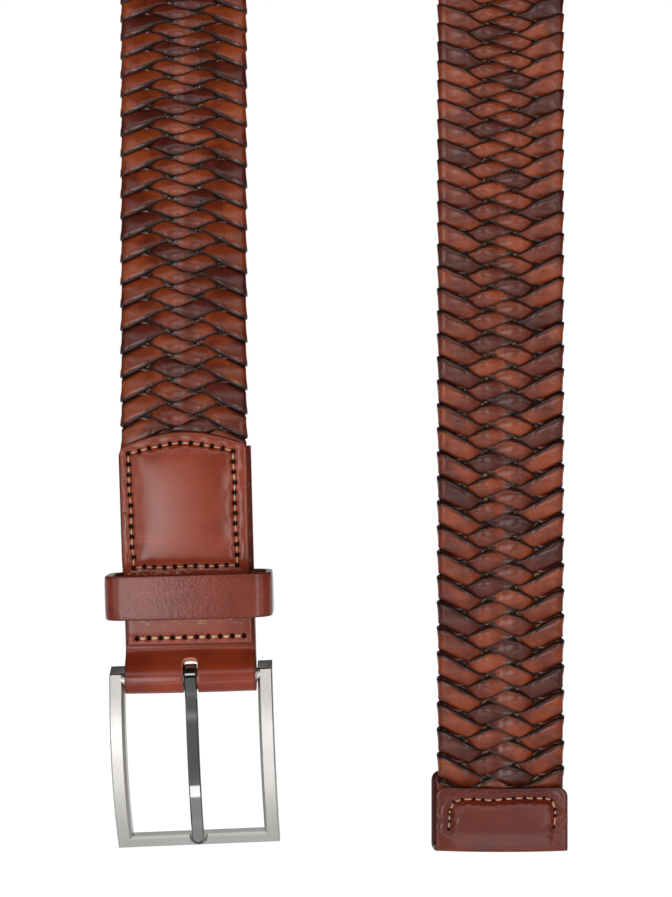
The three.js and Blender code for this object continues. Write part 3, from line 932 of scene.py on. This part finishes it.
def keeper_outline(count):
    """Points (across, y) round the keeper seen from above: a rectangle with round corners. The
    keeper's code below bows its front a little outwards."""
    half_deep = (keeper_back - keeper_front) / 2
    middle = (keeper_back + keeper_front) / 2
    corners = []
    for side_x, side_y, turn in ((1, 1, 0.0), (-1, 1, 0.5), (-1, -1, 1.0), (1, -1, 1.5)):
        angle = np.pi * (turn + np.linspace(0.0, 0.5, 13))
        corners.append(np.stack([
            side_x * (keeper_half_width - keeper_corner) + keeper_corner * np.cos(angle),
            middle + side_y * (half_deep - keeper_corner) + keeper_corner * np.sin(angle),
        ], axis=-1))
    return even_steps(np.concatenate(corners + [corners[0][:1]]), count + 1)


keeper_x, keeper_y = keeper_outline(240).T[:, None, :]
keeper_y = keeper_y - keeper_bow * np.clip(
    1.0 - (keeper_x / keeper_half_width) ** 2, 0.0, None) * (keeper_y < 0.0)
keeper_z = np.linspace(keeper_bottom, keeper_top, 25)[:, None]
keeper_gap = np.minimum(keeper_z - keeper_bottom, keeper_top - keeper_z)
pinch = 1.0 - 0.010 * np.exp(-keeper_gap / (0.9 * MM))
keeper = leather_sheet(
    "keeper", on_tab(keeper_x * pinch + keeper_shift, keeper_y * pinch, keeper_z),
    keeper_gap, 0.7 * MM)
give_wall(keeper, keeper_leather, 0.4 * MM)
keeper.data.materials.append(smooth_leather(
    "keeper_leather", (0.140, 0.018, 0.007), (0.205, 0.030, 0.012), grain=0.11))
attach(keeper, "strap")
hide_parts("keeper_loop")


# The tip cap: glossy leather folded up over the braid's end and sewn through near its edges,
# where it wrinkles.

cap_centre = 44 * MM
cap_half_width = 18.25 * MM
cap_outer = 3.0 * MM
cap_leather = 1.4 * MM
cap_front_height = 16.8 * MM
cap_back_height = 20.4 * MM
cap_back_shift = -0.8 * MM
cap_corner = 2.8 * MM
cap_seam_side = 14.6 * MM
cap_seam_top = 14.3 * MM
cap_sag = 0.35 * MM
cap_lift = 1.35 * MM
cap_hole_radius = 0.45 * MM

seam_x = np.array([-14.6, -14.35, -14.4, -14.2, -13.2, -10.9, -7.6, -5.2, -2.2, 0.7, 3.4,
                   6.4, 9.2, 11.8, 13.9, 14.8, 14.9, 14.5]) * MM
seam_z = np.array([5.3, 7.5, 9.4, 10.6, 12.9, 13.6, 13.8, 13.6, 13.5, 13.8, 14.0,
                   14.1, 13.9, 13.9, 13.4, 10.7, 9.0, 5.9]) * MM
cap_holes = np.stack([seam_x, seam_z], axis=-1)


def along_seam(across, height):
    """Distance from grid points to the cap's seam line."""
    t = np.linspace(0.0, len(seam_x) - 1.0, 120)
    line = np.stack([np.interp(t, np.arange(len(seam_x)), seam_x),
                     np.interp(t, np.arange(len(seam_x)), seam_z)], axis=-1)
    return nearest(line, across, height)


def cap_relief(across, height):
    """Padding inside the seam, the seam's groove, dips at the holes, puckers and a few slack
    folds at the lower ends of the seam."""
    from_seam = along_seam(across, height)
    within = smooth_step(cap_seam_side - np.abs(across), -0.3 * MM, 2.5 * MM) * smooth_step(
        cap_seam_top - height, -0.3 * MM, 2.5 * MM)
    pad = 0.55 * MM * within * smooth_step(height, -1 * MM, 6 * MM)
    groove = 0.38 * MM * np.exp(-(from_seam / (0.8 * MM)) ** 2)
    hole_gap = nearest(cap_holes, across, height)
    dip = 0.6 * MM * np.exp(-(hole_gap / (0.42 * MM)) ** 2)
    beside_seam = np.exp(-((from_seam - 1.3 * MM) / (0.9 * MM)) ** 2)
    ripple = 0.15 * MM * beside_seam * np.cos(2.0 * np.pi * hole_gap / (1.9 * MM))
    corner_folds = sum(
        0.22 * MM * np.exp(-((np.hypot(across - x * MM, height - z * MM) - r * MM)
                             / (0.32 * MM)) ** 2) * smooth_step(height, 3 * MM, 8 * MM)
        for x, z, r in ((-15.5, 10.0, 2.6), (-15.8, 9.2, 4.3), (15.9, 8.0, 2.4)))
    return pad - groove - dip + ripple + corner_folds * (from_seam < 5 * MM)


cap_rows = np.concatenate([
    np.linspace(-cap_back_height, 0.0, 60)[:-1],
    np.linspace(0.0, np.pi * cap_outer, 25)[:-1],
    np.pi * cap_outer + np.linspace(0.0, cap_front_height, 90),
])[:, None]
bend_angle = np.clip(cap_rows / cap_outer, 0.0, np.pi)
back_side = cap_rows < np.pi * cap_outer / 2
cap_height = np.where(cap_rows < 0.0, -cap_rows,
                      np.maximum(cap_rows - np.pi * cap_outer, 0.0))
cap_depth = cap_outer * np.cos(bend_angle)
cap_below = cap_outer * np.sin(bend_angle)
cap_u = np.linspace(-1.0, 1.0, 131)[None, :]
flap_top = np.where(back_side, cap_back_height, cap_front_height)
from_top = flap_top - cap_height
into_corner = np.clip(cap_corner - from_top, 0.0, None)
inset = cap_corner - np.sqrt(np.clip(cap_corner**2 - into_corner**2, 0.0, None))
cap_across = (cap_half_width - inset) * cap_u
cap_rise = np.broadcast_to(cap_height - 0.45 * cap_below, cap_across.shape)
front_share = smooth_step(-np.cos(bend_angle), 0.0, 1.0)
relief = cap_relief(cap_across, cap_rise) * front_share
cap_edge = np.minimum((cap_half_width - inset) * (1.0 - np.abs(cap_u)), from_top)
soft_rim = 0.35 * MM * np.exp(-cap_edge / (0.3 * MM))
cap_y = cap_depth + (soft_rim - relief) * np.where(back_side, -1.0, 1.0) * np.abs(
    np.cos(bend_angle))
cap_x = cap_centre + cap_across + np.where(back_side, cap_back_shift, 0.0) * np.cos(bend_angle)
cap_z = tip_bottom + cap_rise + cap_lift - cap_sag * (1.0 - cap_u**2)
tip_cap = leather_sheet("tip_cap", np.stack([cap_x, cap_y, cap_z], axis=-1), cap_edge, 0.7 * MM)
carry(tip_cap, "hole", front_share * np.exp(
    -(nearest(cap_holes, cap_across, cap_rise) / cap_hole_radius) ** 4))
give_wall(tip_cap, cap_leather, 0.25 * MM, segments=2)
cap_paint = smooth_leather("cap_leather", (0.075, 0.007, 0.003), (0.125, 0.014, 0.005),
                           grain=0.05)
# The cap's needle holes get painted shade.
paint_hole_shade(cap_paint)
tip_cap.data.materials.append(cap_paint)
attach(tip_cap, "strap")
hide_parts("tip_cap")


def cap_face_at(across, height):
    """y of the cap's front face at a place."""
    return -cap_outer - cap_relief(across, height)


def on_cap(across, out, height):
    """Cap coordinates to places."""
    sag = cap_sag * (1.0 - (across / cap_half_width) ** 2)
    return np.stack([cap_centre + across, out, tip_bottom + height + cap_lift - sag], axis=-1)


cap_seam = stitches("cap_stitches", cap_holes[:-1], cap_holes[1:], fine_inset, cap_face_at,
                    thread_radius, on_cap)
cap_seam.data.materials.append(thread_paint)
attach(cap_seam, "strap")


# The buckle frame: brushed nickel-plated zinc, bowed towards the viewer, with square arms
# whose upper ends carry the bar, a narrow bevel inside, and a round notch for the prong.

frame_pivot = (0.5 * MM, -0.8 * MM)
frame_tilt = np.radians(6.0)
frame_lean = np.radians(0.9)
window_half = 18.45 * MM
outer_half = 22.5 * MM
frame_reach = 47.4 * MM
frame_bow = 5.0 * MM
frame_depth = 4.0 * MM
rail_width = 3.4 * MM
arm_above_bar = 3.1 * MM
inner_bevel = 0.75 * MM
outer_bevel = 0.3 * MM
notch_radius = 2.35 * MM
notch_centre = -44.0 * MM
notch_depth = 1.4 * MM
bar_radius = 1.9 * MM
arm_end_slant = 1.4 * MM
arm_steps = 60
rail_steps = 119


def on_frame(x, y, z):
    """Buckle coordinates to places: leaned in its own plane, tilted about the bar, and set on
    the tab."""
    lean_x = x * np.cos(frame_lean) - z * np.sin(frame_lean)
    lean_z = x * np.sin(frame_lean) + z * np.cos(frame_lean)
    tilt_y = y * np.cos(frame_tilt) - lean_z * np.sin(frame_tilt)
    tilt_z = y * np.sin(frame_tilt) + lean_z * np.cos(frame_tilt)
    return on_tab(lean_x + frame_pivot[0], tilt_y + frame_pivot[1], tilt_z)


def bow(z):
    """How far the frame stands forward at z: a parabola from the bar to the rail."""
    t = -z / frame_reach
    return -4.0 * frame_bow * t * (1.0 - t)


# The route of the frame, down one arm, along the rail and up the other: the side, from -1 to
# 1, and the height.
arm_z = np.concatenate([[arm_above_bar], np.linspace(1.0 * MM, -frame_reach, arm_steps - 1)])
left_arm = np.stack([np.full(arm_steps, -1.0), arm_z], axis=-1)
rail = np.stack([np.linspace(-1.0, 1.0, rail_steps + 2)[1:-1],
                 np.full(rail_steps, -frame_reach)], axis=-1)
right_arm = left_arm[::-1] * np.array([-1.0, 1.0])
route = np.concatenate([left_arm, rail, right_arm])
on_rail = np.repeat([0.0, 1.0, 0.0], [arm_steps, rail_steps, arm_steps])[:, None]
side_sign = np.sign(route[:, :1])
# The section's points, from the back of the outer side round the front to the back of the
# window's side: how far in from the outer side, and how deep from the front.
arm_wide = outer_half - window_half
across_out = np.array([0.0, 0.0, outer_bevel, arm_wide - inner_bevel, arm_wide, arm_wide,
                       arm_wide])
rail_out = np.array([0.0, 0.0, outer_bevel, rail_width - inner_bevel, rail_width, rail_width,
                     rail_width])
deep = np.array([frame_depth, outer_bevel, 0.0, 0.0, inner_bevel, inner_bevel, frame_depth])
notch_reach = np.sqrt(np.clip(notch_radius**2 - (route[:, :1] * window_half)**2, 0.0, None))
notch_cut = on_rail * np.where(np.abs(route[:, :1] * window_half) < notch_radius,
                               np.clip(notch_reach - (notch_centre + frame_reach - rail_width),
                                       0.0, None), 0.0)
arm_x = side_sign * (outer_half - across_out[None, :])
arm_points_z = np.maximum(route[:, 1:], -frame_reach + rail_out[None, :])
rail_points_x = route[:, :1] * (outer_half - across_out[None, :])
cut_points = np.array([0.0, 0.0, 0.0, 1.0, 1.0, 0.0, 0.0])[None, :]
floor_points = np.array([0.0, 0.0, 0.0, 0.0, 1.0, 1.0, 0.0])[None, :]
in_notch = np.clip(notch_cut / (0.3 * MM), 0.0, 1.0)
rail_points_z = -frame_reach + rail_out[None, :] - notch_cut * cut_points
deep = deep + (notch_depth - inner_bevel) * in_notch * floor_points
frame_x = np.where(on_rail > 0.5, rail_points_x, arm_x)
frame_z = np.where(on_rail > 0.5, rail_points_z, arm_points_z)
ends = np.zeros((len(route), 1))
ends[0], ends[-1] = 1.0, 1.0
frame_z = frame_z - ends * arm_end_slant * (1.0 - deep / frame_depth)
frame_y = bow(frame_z) - frame_depth / 2 + deep
buckle = grid_mesh("buckle", on_frame(frame_x, frame_y, frame_z)[:, ::-1])
smooth_faces(buckle, 25.0)
nickel, nickel_tree, nickel_shader = start_material("brushed_nickel", Metallic=1.0)
brushing = noise(nickel_tree, 500.0, 3.0, stretch=(6.0, 6.0, 0.5))
haze = noise(nickel_tree, 90.0, 2.0)
feed(nickel_tree, nickel_shader,
     Base_Color=mix_colours(haze, (0.46, 0.45, 0.43), (0.52, 0.505, 0.48)),
     Roughness=0.34 + 0.12 * brushing,
     Normal=bump(nickel_tree, brushing, 0.08, 0.0003))
buckle.data.materials.append(nickel)
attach(buckle, "frame")
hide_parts("buckle_frame")

bar_x = np.array([-window_half - 1 * MM, *np.linspace(-window_half, window_half, 12),
                  window_half + 1 * MM])[:, None]
bar_angle = np.linspace(0.0, 2.0 * np.pi, 32, endpoint=False)[None, :]
bar = grid_mesh("buckle_bar", on_frame(bar_x, bar_radius * np.cos(bar_angle),
                                       bar_radius * np.sin(bar_angle))[:, ::-1])
smooth_faces(bar, 40.0)
bar.data.materials.append(nickel)
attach(bar, "frame")


# The prong: a polished steel tongue, its eye rolled round the bar and its flat tip resting in
# the rail's notch.

prong_half_width = 1.7 * MM
prong_thick = 2.0 * MM
prong_tip = -45.7 * MM
eye_outer = 3.7 * MM
eye_inner = 2.2 * MM
eye_steps = 40
blade_steps = 70
blade_start = 0.06
blade_joined = 0.16
tip_round_from = 0.963
tip_round_span = 0.0372
tip_clearance = 0.3 * MM
tip_back = bow(notch_centre) - frame_depth / 2 + notch_depth - tip_clearance
prong_down = np.array([0.1, 0.3, 0.55, 0.75, 0.92, 1.0])
prong_bows = np.array([0.18, 0.62, 0.80, 0.62, 0.18, 0.0])
prong_seats = np.array([0.25, 0.3, 0.5, 0.7, 0.95, 1.0])


def smooth_table(x, places, values):
    """Reads a table along a smooth curve: linear reading averaged over a window."""
    spread = np.linspace(-0.11, 0.11, 15)
    return np.mean([np.interp(x + step, places, values) for step in spread], axis=0)


blade_share = np.linspace(blade_start, 1.0, blade_steps)
blade_y = (-frame_bow * 0.75 * smooth_table(blade_share, prong_down, prong_bows)
           + smooth_table(blade_share, prong_down, prong_seats) * tip_back)
blade_z = blade_share * prong_tip
blade_front = np.stack([blade_y - prong_thick, blade_z], axis=-1)
blade_back = np.stack([blade_y, blade_z], axis=-1)
join = smooth_step(blade_share, blade_start, blade_joined)[:, None]
eye_front = np.stack([np.full(blade_steps, -eye_outer), blade_z], axis=-1)
eye_back = np.stack([np.full(blade_steps, -eye_inner), blade_z], axis=-1)
blade_front = eye_front + (blade_front - eye_front) * join
blade_back = eye_back + (blade_back - eye_back) * join
turn = np.linspace(-1.5 * np.pi, 0.0, eye_steps)[:, None]
around_front = np.concatenate([-eye_outer * np.cos(turn), -eye_outer * np.sin(turn)], axis=1)
around_back = around_front * eye_inner / eye_outer
front_line = np.concatenate([around_front, blade_front])
back_line = np.concatenate([around_back, blade_back])
into_tip = np.clip((blade_share - tip_round_from) / tip_round_span, 0.0, 1.0)
tip_round = np.sqrt(np.clip(1.0 - into_tip**2, 0.04, 1.0))
half_wide = np.concatenate([np.ones(eye_steps), tip_round]) * prong_half_width
inward = (back_line - front_line) / np.linalg.norm(back_line - front_line, axis=1)[:, None]
thick_here = np.linalg.norm(back_line - front_line, axis=1)
ring_x = np.array([-1.0, -1.0, -0.8, 0.8, 1.0, 1.0, 0.8, -0.8])
ring_in = np.array([0.8, 0.2, 0.0, 0.0, 0.2, 0.8, 1.0, 1.0])
prong_yz = front_line[:, None, :] + inward[:, None, :] * (
    thick_here[:, None] * ring_in[None, :])[..., None]
prong = grid_mesh("prong_tongue", on_frame(half_wide[:, None] * ring_x[None, :],
                                           prong_yz[..., 0], prong_yz[..., 1]))
smooth_faces(prong, 30.0)
steel, steel_tree, steel_shader = start_material("polished_steel", Metallic=1.0)
smears = noise(steel_tree, 160.0, 3.0)
feed(steel_tree, steel_shader,
     Base_Color=mix_colours(smears, (0.20, 0.20, 0.20), (0.24, 0.235, 0.23)),
     Roughness=0.03 + 0.03 * smears)
prong.data.materials.append(steel)
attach(prong, "prong")
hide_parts("prong")
